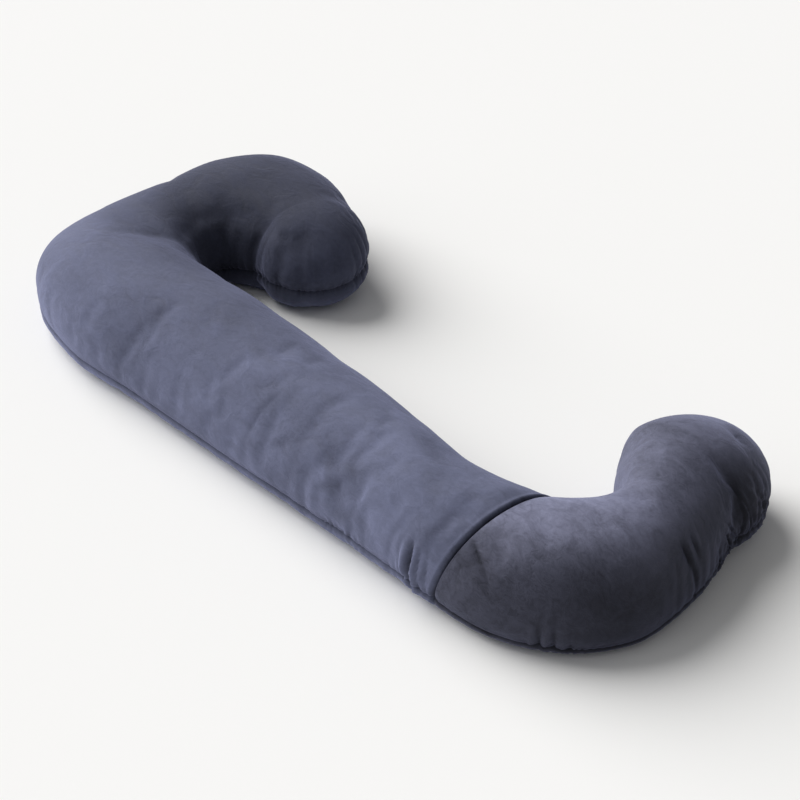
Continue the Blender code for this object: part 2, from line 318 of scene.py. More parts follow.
class PillowStudio(bpy.types.PropertyGroup):
    """Camera, floor and lights."""

    azimuth: FloatProperty(
        name="Camera azimuth", description="0 looks along +Y",
        default=math.radians(48.39), subtype="ANGLE")
    elevation: FloatProperty(
        name="Camera elevation", description="Above the horizon",
        default=math.radians(35.83), subtype="ANGLE")
    distance: FloatProperty(
        name="Camera distance", description="From the point that it looks at",
        default=3.8, unit="LENGTH")
    lens: FloatProperty(
        name="Lens", description="Focal length on a 36 mm sensor", default=98.3)
    shift: FloatVectorProperty(
        name="Lens shift", description="Sideways and up, as shares of the picture's width",
        size=2, default=(0.0188, -0.0055))
    key_strength: FloatProperty(
        name="Key light", description="Strength of the light from the head's side", default=4.0, min=0.0)
    fill_strength: FloatProperty(
        name="Fill light", description="Strength of the light from the near side", default=0.5, min=0.0)
    ambient: FloatProperty(
        name="Ambient", description="Strength of the even light all round", default=0.23, min=0.0)
    floor_size: FloatProperty(
        name="Floor size", description="Side of the square floor", default=80.0, min=4.0, unit="LENGTH")
    floor_tone: FloatVectorProperty(
        name="Floor", description="Colour of the plain floor",
        subtype="COLOR", default=(0.90, 0.90, 0.90), min=0.0, max=1.0)


def smooth_step(value):
    """0 up to 0, 1 from 1 on, and a cubic with level ends between."""
    share = np.clip(value, 0, 1)
    return share * share * (3 - 2 * share)


def middle_line():
    """Middle of each section, and its distance along the pillow from the head."""
    middle = (SECTIONS[:, 0:2] + SECTIONS[:, 2:4]) / 2
    steps = np.linalg.norm(np.diff(middle, axis=0), axis=1)
    return middle, np.concatenate([[0.0], np.cumsum(steps)])


def smooth_sections(places):
    """Cubic curve through the table's rows, each with the slope across its neighbours."""
    along = middle_line()[1]
    slopes = np.gradient(SECTIONS, along, axis=0)
    left = np.clip(np.searchsorted(along, places, side="right") - 1, 0, len(along) - 2)
    span = (along[left + 1] - along[left])[:, None]
    u = (places - along[left])[:, None] / span
    value = (2 * u**3 - 3 * u**2 + 1) * SECTIONS[left]
    value += (u**3 - 2 * u**2 + u) * span * slopes[left]
    value += (3 * u**2 - 2 * u**3) * SECTIONS[left + 1]
    value += (u**3 - u**2) * span * slopes[left + 1]
    return value


def round_tip(outer, middle, length, lean):
    """Half ellipse from the outer edge round to the inner edge, length beyond the middle.

    lean carries its far end towards the outer edge, as a share of the half width.
    """
    half = outer - middle
    forward = np.array([-half[1], half[0]]) / np.linalg.norm(half)
    turn = np.linspace(0.0, np.pi, TIP_STEPS + 2)[1:-1, None]
    return middle + (np.cos(turn) + lean * np.sin(turn)) * half + np.sin(turn) * length * forward


def edge_and_ridge(places, part, crown_height):
    """Points round the edge seam from the cross seam, by the tip and back, with the ridge over each.

    bow and skew say how far each section is carried towards the foot between its edges.
    Round the tip the seam's height runs from the outer edge's to the inner edge's as a cosine.
    """
    sections = smooth_sections(places)
    outer, inner, crown = sections[:, 0:2], sections[:, 2:4], sections[:, 4]
    middle = (outer + inner) / 2
    across = (inner - outer) / np.linalg.norm(inner - outer, axis=1)[:, None]
    forward = np.column_stack([across[:, 1], -across[:, 0]]) * sections[:, 5:6]
    tip = round_tip(outer[-1], middle[-1], part["side"] * part["tip"], part["lean"])
    none = np.zeros((TIP_STEPS, 2))
    edge = np.concatenate([outer, tip, inner[::-1]])
    ridge = np.concatenate([middle, np.repeat(middle[-1:], TIP_STEPS, axis=0), middle[::-1]])
    bow = np.concatenate([forward, none, forward[::-1]])
    skew = np.concatenate([forward, none, -forward[::-1]]) * BOW_SKEW
    height = np.concatenate([crown, np.repeat(crown[-1:], TIP_STEPS), crown[::-1]]) * crown_height
    share = (1 + np.cos(np.linspace(0.0, np.pi, TIP_STEPS + 2)[1:-1])) / 2
    tip_seam = sections[-1, 6] * share + sections[-1, 7] * (1 - share)
    seam = np.concatenate([sections[:, 6], tip_seam, sections[::-1, 7]])
    return edge, ridge, bow, skew, height, seam


def section_rows(edge, ridge, bow, skew, height, seam, form):
    """Rows of points from the ridge over the crown to the edge seam, under it and in along the floor.

    Over the crown, turn runs from a right angle at the ridge to 0 at the seam, closer together
    near the seam. The share of the way in is one less its cosine, and the height follows a full
    round curve of that share. In plan the section bows towards the foot by its sine, times one
    plus a skewed share of its cosine. Below the seam the side turns under in a quarter ellipse.
    """
    width = np.linalg.norm(edge - ridge, axis=1)
    rows = []
    for step in np.linspace(1.0, 0.0, TOP_ROWS + 1):
        turn = np.pi / 2 * step**1.5
        share = 1 - np.cos(turn)
        rise = (1 - (1 - share) ** form.fullness) ** (1 / form.fullness)
        plan = edge + (ridge - edge) * share + np.sin(turn) * (bow + skew * np.cos(turn))
        rows.append(np.column_stack([plan, seam + (height - seam) * rise]))
    for step in np.linspace(0.0, 1.0, SIDE_ROWS + 1)[1:]:
        turn = np.pi / 2 * step**1.3
        share = form.floor_inset * (1 - np.cos(turn)) / width
        plan = edge + (ridge - edge) * share[:, None]
        rows.append(np.column_stack([plan, seam * (1 - np.sin(turn))]))
    last = rows[-1][:, 0:2]
    for step in np.linspace(0.0, 1.0, FLOOR_ROWS + 1)[1:]:
        rows.append(np.column_stack([last + (ridge - last) * step, np.zeros(len(edge))]))
    return np.stack(rows, axis=1)


def from_ends(points):
    """Distance along each row from the cross seam, by the nearer side of the cushion."""
    step = np.linalg.norm(np.diff(points, axis=0), axis=2)
    run = np.concatenate([np.zeros((1, points.shape[1])), np.cumsum(step, axis=0)])
    return np.minimum(run, run[-1] - run)


def from_edge(points, edge, seam):
    """Distance of each point from its own column's point of the edge seam."""
    flat = np.linalg.norm(points[:, :, 0:2] - edge[:, None, :], axis=2)
    return np.hypot(flat, points[:, :, 2] - seam[:, None]), flat


def gather_depth(points, arc, flat):
    """Uneven pleats: a wave along the edge seam that dies away from it, inside each zone."""
    depth = np.zeros(points.shape[0:2])
    for x, y, radius, pitch, deepest, reach in GATHERS:
        zone = np.exp(-((points[:, :, 0] - x) ** 2 + (points[:, :, 1] - y) ** 2) / radius**2)
        sway = 1.4 * np.sin(2 * np.pi * arc / (3.7 * pitch)) + 30 * flat
        wave = 0.5 + 0.5 * np.sin(2 * np.pi * arc / pitch + sway)
        depth += deepest * zone * wave**2 * np.clip(1 - flat / reach, 0, 1) ** 1.5
    return depth


def pucker_depth(edge, arc, away):
    """Short creases from the seam, each a narrow trough between two low ridges.

    They stand a jittered pitch apart. Across a crease the depth is a bell of the distance from its
    slanted and curled line, less two lower bells beside it, and it dies away evenly with the
    distance from the seam up to its own reach.
    """
    chance = np.random.default_rng(PUCKER_SEED)
    total = arc[-1, 0]
    depth = np.zeros(away.shape)
    starts = np.arange(PUCKER_PITCH, total, PUCKER_PITCH)
    starts += chance.uniform(-0.4, 0.4, len(starts)) * PUCKER_PITCH
    strong = chance.uniform(0.15, 1.0, len(starts))
    long = chance.uniform(0.5, 1.25, len(starts))
    slant = chance.uniform(-0.45, 0.45, len(starts))
    curl = chance.uniform(-7.0, 7.0, len(starts))
    thin = chance.uniform(0.0013, 0.0026, len(starts))
    for start, strength, length, lean, bend, half in zip(starts, strong, long, slant, curl, thin):
        column = int(np.searchsorted(arc[:, 0], start))
        spot = edge[min(column, len(edge) - 1)]
        near = [np.exp(-((spot[0] - x) ** 2 + (spot[1] - y) ** 2) / r**2) for x, y, r, _, _ in PUCKERS]
        deepest = sum(share * row[3] for share, row in zip(near, PUCKERS)) * strength
        reach = max(share * row[4] for share, row in zip(near, PUCKERS)) * length + half
        fade = np.clip(1 - away / reach, 0, 1)
        width = half * (1 + 1.6 * away / reach)
        off = np.abs(arc - start - lean * away - bend * away**2) / width
        ridges = 0.45 * np.exp(-((off - 2.0) ** 2))
        depth += deepest * fade * (np.exp(-(off**2)) - ridges)
    return depth


def line_depth(points, table):
    """Troughs: deepest along each line, dying away as a bell with the distance from it."""
    depth = np.zeros(points.shape[0:2])
    for x0, y0, x1, y1, half_width, deepest in table:
        start = np.array([x0, y0])
        run = np.array([x1, y1]) - start
        offset = points[:, :, 0:2] - start
        share = np.clip(offset @ run / (run @ run), 0, 1)
        away = np.linalg.norm(offset - share[:, :, None] * run, axis=2)
        taper = 0.35 + 0.65 * np.sin(np.pi * share)
        depth += deepest * taper * np.exp(-((away / half_width) ** 2))
    return depth


def seam_depth(from_seam, away, rolled):
    """Both seams: a soft hollow and a fine sharp line in it, and a low roll beside the cross seam."""
    depth = EDGE_PINCH[0] * np.exp(-((away / EDGE_PINCH[1]) ** 2))
    depth += EDGE_LINE[0] * np.exp(-away / EDGE_LINE[1])
    depth += CROSS_GROOVE[0] * np.exp(-from_seam / CROSS_GROOVE[1])
    depth += CROSS_LINE[0] * np.exp(-from_seam / CROSS_LINE[1])
    if rolled:
        depth -= CROSS_ROLL[0] * np.exp(-(((from_seam - CROSS_ROLL[1]) / CROSS_ROLL[2]) ** 2))
    return depth


def grid_faces(columns, rows):
    """Corners of each square of the grid, numbered row by row."""
    corner = np.arange(columns * rows).reshape(columns, rows)
    quads = np.stack([corner[:-1, :-1], corner[:-1, 1:], corner[1:, 1:], corner[1:, :-1]], axis=2)
    return quads.reshape(-1, 4)


def open_mesh(name, points):
    """Mesh of a grid of points, open at its four sides."""
    mesh = bpy.data.meshes.new(name)
    columns, rows = points.shape[0:2]
    mesh.from_pydata(points.reshape(-1, 3).tolist(), [], grid_faces(columns, rows).tolist())
    return mesh


def close_mesh(mesh):
    """Merges the grid along the ridge, closes the end at the cross seam and points the faces out."""
    bm = bmesh.new()
    bm.from_mesh(mesh)
    bmesh.ops.remove_doubles(bm, verts=bm.verts, dist=MERGE_DISTANCE)
    rim = [edge for edge in bm.edges if edge.is_boundary]
    end = bmesh.ops.holes_fill(bm, edges=rim, sides=0)["faces"]
    bmesh.ops.poke(bm, faces=end)
    bmesh.ops.recalc_face_normals(bm, faces=bm.faces)
    bm.to_mesh(mesh)
    bm.free()


def linked(name, mesh):
    """New object of the mesh, in the scene."""
    piece = bpy.data.objects.new(name, mesh)
    bpy.context.scene.collection.objects.link(piece)
    return piece


def places_of(mesh):
    """Places of the mesh's points, one row each."""
    flat = np.empty(len(mesh.vertices) * 3)
    mesh.vertices.foreach_get("co", flat)
    return flat.reshape(-1, 3)


def evaluated_copy(piece):
    """The piece's mesh as its modifiers leave it."""
    bpy.context.view_layer.update()
    graph = bpy.context.evaluated_depsgraph_get()
    return bpy.data.meshes.new_from_object(piece.evaluated_get(graph))


def nearest(points, line):
    """Distance of each point from the nearest point of a line, a block at a time."""
    blocks = np.array_split(points, max(1, len(points) // BLOCK))
    return np.concatenate([
        np.sqrt(((block[:, None, :] - line[None, :, :]) ** 2).sum(axis=2)).min(axis=1) for block in blocks])


def even_form(name, points, voxel):
    """Closed copy of the cushion with even cells, for the simulation, from a coarser grid."""
    mesh = open_mesh(name, points[::3, ::2])
    close_mesh(mesh)
    form = linked(name, mesh)
    remesh = form.modifiers.new("Even cells", "REMESH")
    remesh.mode = "VOXEL"
    remesh.voxel_size = voxel
    form.data = evaluated_copy(form)
    form.modifiers.clear()
    return form


def swell(form, held, gathered, filling):
    """Cloth simulation of the eased cover under the filling's pressure, its movement capped.

    The cloth grows by gathered_ease where the group of plain cloth weighs 0 and by ease where it
    weighs 1. Each movement keeps its direction, and its length follows a hyperbolic tangent.
    """
    pinned = form.vertex_groups.new(name="held")
    pinned.add(np.flatnonzero(held).tolist(), 1.0, "REPLACE")
    plain = form.vertex_groups.new(name="plain")
    for index, share in enumerate(gathered):
        plain.add([index], float(1 - share), "REPLACE")
    cloth = form.modifiers.new("Filled cover", "CLOTH")
    settings = cloth.settings
    settings.quality = 5
    settings.mass = 0.25
    settings.air_damping = 2.0
    settings.tension_stiffness = 12.0
    settings.compression_stiffness = 12.0
    settings.shear_stiffness = 4.0
    settings.bending_stiffness = 0.30
    settings.use_pressure = True
    settings.uniform_pressure_force = filling.pressure
    settings.shrink_min = -filling.gathered_ease
    settings.shrink_max = -filling.ease
    settings.vertex_group_shrink = "plain"
    settings.vertex_group_mass = "held"
    settings.effector_weights.gravity = 0.0
    cloth.point_cache.frame_start = 1
    cloth.point_cache.frame_end = filling.frames
    scene = bpy.context.scene
    for number in range(1, filling.frames + 1):
        scene.frame_set(number)
    before = places_of(form.data)
    move = places_of(evaluated_copy(form)) - before
    form.modifiers.clear()
    scene.frame_set(1)
    length = np.linalg.norm(move, axis=1)[:, None] + 1e-9
    return before + move / length * filling.most * np.tanh(length / filling.most)


def carried(points, rest, moved, count, softness):
    """Moves the fine grid with the form.

    Each point moves by the mean movement of the form's nearest points, each weighted by one over
    the square of its distance plus the softness.
    """
    tree = KDTree(len(rest))
    for index, place in enumerate(rest):
        tree.insert(place, index)
    tree.balance()
    move = moved - rest
    fine = points.reshape(-1, 3)
    result = np.empty_like(fine)
    for row, place in enumerate(fine):
        found = tree.find_n(place, count)
        index = [item[1] for item in found]
        weight = np.array([1 / (item[2] ** 2 + softness) for item in found])
        result[row] = place + weight @ move[index] / weight.sum()
    return result.reshape(points.shape)


def outer_side(columns):
    """Share of each column of the grid in the outer side: 1, falling as a cosine round the tip to 0."""
    half = (columns - TIP_STEPS) // 2
    tip = (1 + np.cos(np.linspace(0.0, np.pi, TIP_STEPS))) / 2
    return np.concatenate([np.ones(half), tip, np.zeros(columns - half - TIP_STEPS)])[:, None]


def smoothed_side(points):
    """Share by which the swelling is smoothed: 1 on the inner side from a little below the ridge.

    It is 0 on the outer side and at the ridge, and dies away towards the head hook.
    """
    down = smooth_step(np.arange(points.shape[1]) / (0.25 * TOP_ROWS))
    return (1 - outer_side(len(points))) * down * smooth_step((points[:, :, 0] + 0.30) / 0.10)


def filled(points, edge, seam, name, filling):
    """The grid as its filling swells it, held along its seams and where it rests on the floor."""
    form = even_form(name + "_form", points, filling.voxel)
    rest = places_of(form.data)
    rim = np.concatenate([points[0], points[-1]])
    held = rest[:, 2] < filling.voxel / 2
    held |= nearest(rest, np.column_stack([edge, seam])[::2]) < filling.voxel
    held |= nearest(rest, rim) < filling.voxel * 1.5
    gathered = np.zeros(len(rest))
    for x, y, radius, depth, _ in PUCKERS:
        zone = np.exp(-((rest[:, 0] - x) ** 2 + (rest[:, 1] - y) ** 2) / radius**2)
        gathered += zone * min(1.0, depth / FULLY_GATHERED)
    moved = swell(form, held, np.clip(gathered, 0, 1), filling)
    bpy.data.objects.remove(form)
    creased = carried(points, rest, moved, NEAR_POINTS, NEAR_SOFTNESS)
    smoothed = carried(points, rest, moved, WIDE_POINTS, WIDE_SOFTNESS)
    return creased + (smoothed - creased) * smoothed_side(points)[:, :, None]


def cover_grid(name, part, form, filling):
    """The finished surface of one section: swelled, then drawn in by its gathers, folds and seams.

    Also says how deep each point is drawn in, and the shade painted on it.
    """
    along = middle_line()[1]
    split = along[CROSS_SEAM_SECTION]
    length = abs(part["end"] - split)
    run = np.linspace(SEAM_PLACES[-1], length, round((length - SEAM_PLACES[-1]) / part["spacing"]))
    places = np.concatenate([SEAM_PLACES[:-1], run])
    outline = edge_and_ridge(split + part["side"] * places, part, form.crown_height)
    edge, ridge, bow, _, height, seam = outline
    plain = section_rows(*outline, form)
    from_seam = from_ends(plain)
    clear = 1 - np.exp(-((from_seam / CROSS_HOLD) ** 2))
    points = plain
    swelled = filled(plain, edge, seam, name, filling)
    points = plain + (swelled - plain) * clear[:, :, None]
    step = np.linalg.norm(np.diff(edge, axis=0), axis=1)
    arc = np.concatenate([[0.0], np.cumsum(step)])[:, None]
    away, flat = from_edge(plain, edge, seam)
    depth = gather_depth(plain, arc, flat) + line_depth(plain, FOLDS)
    depth += line_depth(plain, SHARP_CREASES) + pucker_depth(edge, arc, away)
    depth *= 1 - np.exp(-((from_seam / CREASE_START) ** 2))
    depth += seam_depth(from_seam, away, part["rolled"])
    depth *= np.clip(plain[:, :, 2] / seam[:, None], 0, 1)
    inward = np.column_stack([ridge + bow, height / 2])[:, None, :] - plain
    inward /= np.linalg.norm(inward, axis=2)[:, :, None]
    points = points + depth[:, :, None] * inward
    for last, beside in ((0, 1), (-1, -2)):
        back = plain[beside] - plain[last]
        points[last] += back / np.linalg.norm(back, axis=1)[:, None] * SEAM_GAP / 2
    points[:, :, 2] = np.clip(points[:, :, 2], 0.0, None)
    # The section's nap entry gives each point's painted shade and painted light
    return points, depth, part["nap"](plain, flat, seam)


def body_painted_shade(points, _, seam):
    """Painted shade of the long section: 1 on the long run, easing over the head hook to the head's painted
    shadow.

    The hook is where y is over a line that slopes down towards the foot. Towards the hook's end the painted
    shadow is lighter, and under the seam painted light is added, where that strip lies in shade.
    """
    x, y, z = np.moveaxis(points, 2, 0)
    # Painted shadow over the head hook, easing out along the long run
    corner = smooth_step((0.10 - y - 0.35 * (x + 0.70)) / 0.34)
    run = np.maximum(corner, np.clip((x + 0.20) / 0.20, 0, 1))
    head_end = HEAD_END_LESS_SHADOW * smooth_step((x + 0.40) / 0.16)
    # Painted light under the edge seam, where that strip lies in shade
    under = UNDER_SEAM_PAINTED_LIGHT * smooth_step(1 - z / seam[:, None])
    return run + (1 - run) * (HEAD_PAINTED_SHADOW + head_end) + under


def foot_painted_shade(points, flat, seam):
    """Painted shade of the foot hook: light on its inner side, easing to dark out at the outer seam, on the
    side turned from the key light.

    Towards the cross seam the whole of it is lighter, and the light reaches further out. Under the edge seam
    painted light is added, where that strip lies in shade.
    """
    y, z = points[:, :, 1], points[:, :, 2]
    across = flat / flat[:, :1]
    front = smooth_step((0.06 - y) / 0.24)
    reach = smooth_step((across - 0.12 + 0.10 * front) / (0.55 + 0.30 * front))
    lit = 1 - outer_side(len(points)) * (1 - reach)
    # Painted shade on the outer side, turned from the key light
    dark = OUTER_PAINTED_SHADE + (FRONT_OUTER_PAINTED_SHADE - OUTER_PAINTED_SHADE) * smooth_step((-0.20 - y) / 0.10)
    # Painted light under the edge seam, where that strip lies in shade
    under = UNDER_SEAM_PAINTED_LIGHT * smooth_step(1 - z / seam[:, None])
    return (dark + (1 - dark) * lit) * (0.70 + 0.58 * front) + under


def parts_now(form):
    """The two sections of the cover: where each ends, how fine its grid is and whether it is rolled."""
    total = middle_line()[1][-1]
    body = {"end": 0.0, "side": -1, "tip": form.head_tip, "lean": 0.0}
    # Each section's nap entry is its function of painted shade and painted light
    body |= {"spacing": BODY_SPACING, "rolled": True, "nap": body_painted_shade}
    foot = {"end": total, "side": 1, "tip": form.foot_tip, "lean": form.foot_lean}
    foot |= {"spacing": FOOT_SPACING, "rolled": False, "nap": foot_painted_shade}
    return {"body": body, "foot": foot}


def frame_middle(form):
    """Middle in plan of the box round the whole edge seam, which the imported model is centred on."""
    along = middle_line()[1]
    split = along[CROSS_SEAM_SECTION]
    edges = []
    for part in parts_now(form).values():
        places = np.linspace(split, part["end"], FRAME_STEPS)
        edges.append(edge_and_ridge(places, part, form.crown_height)[0])
    edge = np.concatenate(edges)
    return (edge.min(axis=0) + edge.max(axis=0)) / 2


def centred(points, form):
    """Points of the table's frame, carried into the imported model's."""
    middle = frame_middle(form)
    return points - np.array([middle[0], middle[1], 0.0])


def add_cover(name, key, looks, node):
    """Builds one section of the cover, lets it stand for its solid and gives back its grid."""
    scene = bpy.context.scene
    form = scene.pillow_form
    part = parts_now(form)[key]
    points, depth, painted_shade = cover_grid(name, part, form, scene.pillow_filling)
    mesh = open_mesh(name, centred(points, form))
    # Painted shade in the creases and seam hollows, by how deep each point is drawn in, and a painted
    # highlight on the ridges
    painted_crease_shade = mesh.attributes.new("painted_crease_shade", "FLOAT", "POINT")
    painted_crease_shade.data.foreach_set("value", np.clip(depth / FULL_CREASE_SHADE, LEAST_CREASE_SHADE, 1).ravel())
    # Painted shadow and shade over the hooks, and painted light under the edge seam
    nap = mesh.attributes.new("nap", "FLOAT", "POINT")
    nap.data.foreach_set("value", painted_shade.ravel())
    close_mesh(mesh)
    mesh.shade_smooth()
    piece = linked(name, mesh)
    mesh.materials.append(velvet_material(name + "_velvet", *looks))
    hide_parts(node)
    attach(piece, "root")
    return points


def add_sockets(group, in_out, kinds):
    """Named sockets of a node group, with the kind of each by its name."""
    for name, kind in kinds.items():
        group.interface.new_socket(name=name, in_out=in_out, socket_type="NodeSocket" + kind)


def noise_at(nodes, links, vector, scale, detail, distortion=0.0):
    noise = nodes.new("ShaderNodeTexNoise")
    noise.inputs["Scale"].default_value = scale
    noise.inputs["Detail"].default_value = detail
    noise.inputs["Distortion"].default_value = distortion
    links.new(vector, noise.inputs["Vector"])
    return noise.outputs["Fac"]


def math_node(nodes, links, kind, *values):
    """Math node on numbers or other nodes' outputs."""
    node = nodes.new("ShaderNodeMath")
    node.operation = kind
    for socket, value in zip(node.inputs, values):
        if isinstance(value, (int, float)):
            socket.default_value = value
        else:
            links.new(value, socket)
    return node.outputs[0]


def weighted_sum(nodes, links, terms):
    """Sum of values, each times its own weight."""
    total = 0.0
    for value, weight in terms:
        total = math_node(nodes, links, "MULTIPLY_ADD", value, weight, total)
    return total


def marks_where(nodes, links, strokes, band, places, region):
    """Mask of the strokes past one band of values, and only where the places are past another."""
    masks = []
    for value, (low, high) in ((strokes, band), (places, region)):
        ramp = nodes.new("ShaderNodeMapRange")
        ramp.interpolation_type = "SMOOTHSTEP"
        ramp.inputs["From Min"].default_value = low
        ramp.inputs["From Max"].default_value = high
        links.new(value, ramp.inputs["Value"])
        masks.append(ramp.outputs["Result"])
    return math_node(nodes, links, "MULTIPLY", *masks)


def nap_and_painted_shade_group():
    """Brushed nap with painted shade: broad lighter and darker sweeps, crisper smudges and scuffs in places,
    and fine pile.

    The shade is one, plus the contrast times the sweeps, patches, strokes and scuffs less the smudges, plus
    the grain, less the painted shade of the creases and seams, which below 0 is a painted highlight on
    ridges, all times the painted shade of the sections. It scales the pile colour. The normal leans with the
    sweeps.
    """
    if "Brushed nap and painted shade" in bpy.data.node_groups:
        return bpy.data.node_groups["Brushed nap and painted shade"]
    group = bpy.data.node_groups.new("Brushed nap and painted shade", "ShaderNodeTree")
    add_sockets(group, "INPUT", {
        "Vector": "Vector", "Pile": "Color", "Contrast": "Float", "Painted crease shade": "Float", "Painted shade": "Float",
        "Lean": "Vector"})
    add_sockets(group, "OUTPUT", {
        "Color": "Color", "Roughness": "Float", "Normal": "Vector"})
    nodes, links = group.nodes, group.links
    given = nodes.new("NodeGroupInput").outputs
    made = nodes.new("NodeGroupOutput").inputs

    stretch = nodes.new("ShaderNodeMapping")
    stretch.inputs["Rotation"].default_value = (0.0, 0.0, math.radians(-28))
    stretch.inputs["Scale"].default_value = (0.75, 1.15, 1.0)
    links.new(given["Vector"], stretch.inputs["Vector"])
    brushed = stretch.outputs["Vector"]
    sweeps = noise_at(nodes, links, brushed, 7.0, 3.0, 0.8)
    patches = noise_at(nodes, links, brushed, 30.0, 4.0, 1.0)
    strokes = noise_at(nodes, links, brushed, 80.0, 4.0, 1.2)
    places = noise_at(nodes, links, given["Vector"], 5.0, 1.0)
    grain = noise_at(nodes, links, given["Vector"], 900.0, 2.0)
    smudges = marks_where(nodes, links, strokes, (0.56, 0.66), places, (0.46, 0.60))
    scuffs = marks_where(nodes, links, strokes, (0.42, 0.35), places, (0.54, 0.42))

    broad, middling, streaks, fine = [
        math_node(nodes, links, "SUBTRACT", noise, 0.5) for noise in (sweeps, patches, strokes, grain)]
    marks = weighted_sum(nodes, links, (
        (broad, 1.7), (middling, 1.1), (streaks, 1.2), (smudges, -0.40), (scuffs, 0.35)))
    # Less the painted shade of creases and seams, a painted highlight where it is below 0
    shade = weighted_sum(nodes, links, (
        (marks, given["Contrast"]), (fine, 0.30), (given["Painted crease shade"], -0.65)))
    shade = math_node(nodes, links, "ADD", shade, 1.0)
    # Times the painted shade of the sections
    shade = math_node(nodes, links, "MULTIPLY", shade, given["Painted shade"])

    tinted = nodes.new("ShaderNodeMix")
    tinted.data_type = "RGBA"
    tinted.blend_type = "MULTIPLY"
    tinted.inputs["Factor"].default_value = 1.0
    links.new(given["Pile"], tinted.inputs["A"])
    links.new(shade, tinted.inputs["B"])
    links.new(tinted.outputs["Result"], made["Color"])
    links.new(math_node(nodes, links, "MULTIPLY_ADD", middling, 0.35, 0.78), made["Roughness"])

    bump = nodes.new("ShaderNodeBump")
    bump.inputs["Strength"].default_value = 0.8
    bump.inputs["Distance"].default_value = 1.0
    links.new(weighted_sum(nodes, links, ((fine, 0.0005), (patches, 0.0030))), bump.inputs["Height"])
    leaning, tilted, unit = [nodes.new("ShaderNodeVectorMath") for _ in range(3)]
    leaning.operation = "SCALE"
    tilted.operation = "ADD"
    unit.operation = "NORMALIZE"
    links.new(given["Lean"], leaning.inputs["Vector"])
    links.new(math_node(nodes, links, "MULTIPLY_ADD", broad, 2.5, 1.0), leaning.inputs["Scale"])
    links.new(bump.outputs["Normal"], tilted.inputs[0])
    links.new(leaning.outputs["Vector"], tilted.inputs[1])
    links.new(tilted.outputs["Vector"], unit.inputs[0])
    links.new(unit.outputs["Vector"], made["Normal"])
    return group


def velvet_material(name, pile, lean, brushed, sheen):
    """Velvet: a dark pile with a soft lavender sheen where it is seen along the surface."""
    material = bpy.data.materials.new(name)
    material.use_nodes = True
    nodes, links = material.node_tree.nodes, material.node_tree.links
    shader = nodes["Principled BSDF"]
    shader.inputs["Specular IOR Level"].default_value = 0.15
    shader.inputs["Sheen Weight"].default_value = sheen
    shader.inputs["Sheen Roughness"].default_value = 0.42
    shader.inputs["Sheen Tint"].default_value = (0.54, 0.58, 0.90, 1.0)
    nap = nodes.new("ShaderNodeGroup")
    nap.node_tree = nap_and_painted_shade_group()
    nap.inputs["Pile"].default_value = (*pile, 1.0)
    nap.inputs["Contrast"].default_value = brushed
    nap.inputs["Lean"].default_value = lean
    place = nodes.new("ShaderNodeTexCoord")
    links.new(place.outputs["Object"], nap.inputs["Vector"])
    # Both attributes carry painted shade, in the creases and over the hooks, with painted highlights on
    # ridges and painted light under the edge seam
    for attribute, socket in (("painted_crease_shade", "Painted crease shade"), ("nap", "Painted shade")):
        read = nodes.new("ShaderNodeAttribute")
        read.attribute_name = attribute
        links.new(read.outputs["Fac"], nap.inputs[socket])
    links.new(nap.outputs["Color"], shader.inputs["Base Color"])
    links.new(nap.outputs["Roughness"], shader.inputs["Roughness"])
    links.new(nap.outputs["Normal"], shader.inputs["Normal"])
    return material


def thread_material(name, colour):
    """Sewing thread: dark, with fine uneven lights from the twist of its plies."""
    material = bpy.data.materials.new(name)
    material.use_nodes = True
    nodes, links = material.node_tree.nodes, material.node_tree.links
    shader = nodes["Principled BSDF"]
    place = nodes.new("ShaderNodeTexCoord")
    twist = noise_at(nodes, links, place.outputs["Object"], 1400.0, 1.0)
    mix = nodes.new("ShaderNodeMix")
    mix.data_type = "RGBA"
    mix.inputs["A"].default_value = (*[value * 0.6 for value in colour], 1.0)
    mix.inputs["B"].default_value = (*[value * 1.6 for value in colour], 1.0)
    links.new(twist, mix.inputs["Factor"])
    links.new(mix.outputs["Result"], shader.inputs["Base Color"])
    shader.inputs["Roughness"].default_value = 0.6
    return material


